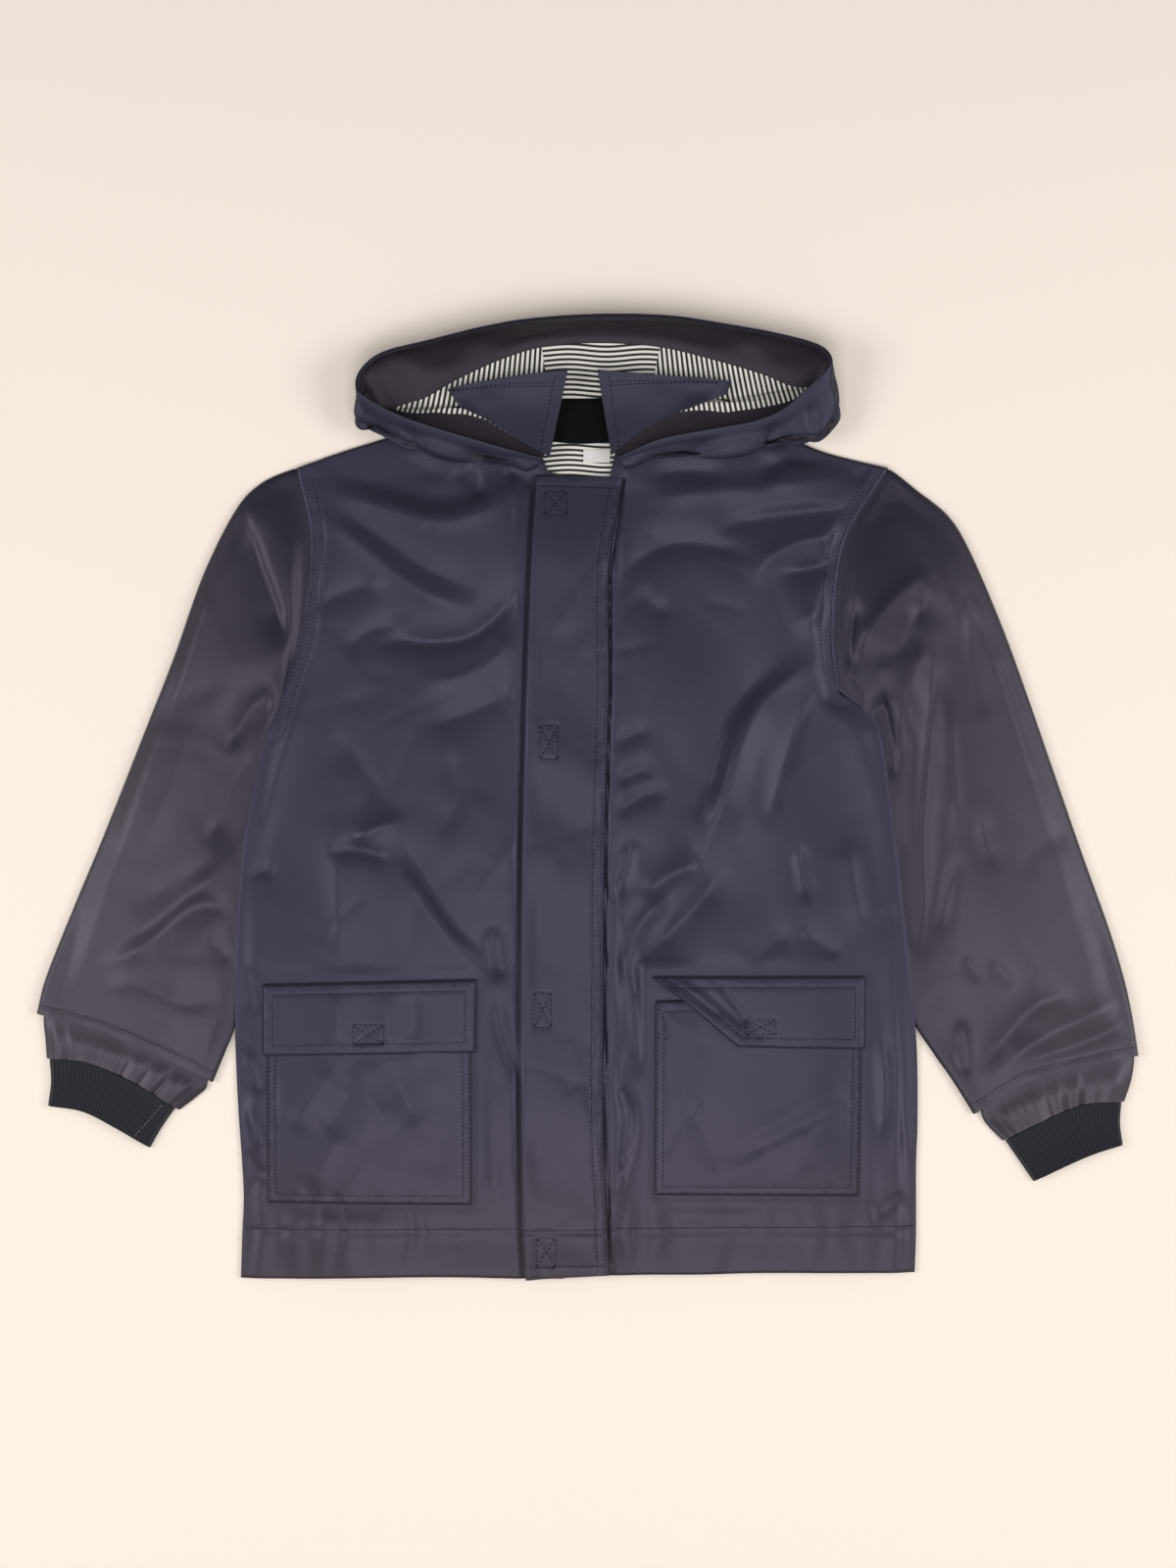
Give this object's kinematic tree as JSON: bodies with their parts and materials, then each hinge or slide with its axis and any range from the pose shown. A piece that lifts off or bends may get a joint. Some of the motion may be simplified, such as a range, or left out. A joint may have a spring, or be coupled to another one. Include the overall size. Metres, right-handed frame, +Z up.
{
  "type": "kids raincoat",
  "caption": "Child's hooded raincoat laid flat on its back, with a placket over the front opening, flap pockets, gathered inner sleeve ends and rib cuffs.",
  "frame": {"origin": "middle of the outline in plan, on the surface that the back lies on", "axes": "+X to the wearer's left, +Y from the hem to the hood, +Z up out of the front"},
  "size_m": [0.788, 0.686, 0.0372],
  "materials": {
    "coated_shell": "satin coated cotton",
    "sleeve_shell": "satin coated cotton",
    "hood_facing": "matt coated cotton",
    "rib_knit": "matt rib knit",
    "striped_lining": "matt striped jersey",
    "label": "matt woven tape"
  },
  "bodies": {
    "root": {"back": "coated_shell", "front_right": "coated_shell", "front_left": "coated_shell", "placket": "coated_shell", "pocket_right": "coated_shell", "pocket_left": "coated_shell", "pocket_flap_right": "coated_shell", "pocket_flap_left": "coated_shell", "hood_side_right": "coated_shell", "hood_centre": "coated_shell", "hood_side_left": "coated_shell", "collar": "coated_shell", "sleeve_right": "sleeve_shell", "sleeve_left": "sleeve_shell", "gathered_end_right": "sleeve_shell", "gathered_end_left": "sleeve_shell", "hood_facing": "hood_facing", "rib_cuff_right": "rib_knit", "rib_cuff_left": "rib_knit", "hood_lining_right": "striped_lining", "hood_lining_centre": "striped_lining", "hood_lining_left": "striped_lining", "neck_lining": "striped_lining", "neck_label": "label"}
  },
  "joints": []
}
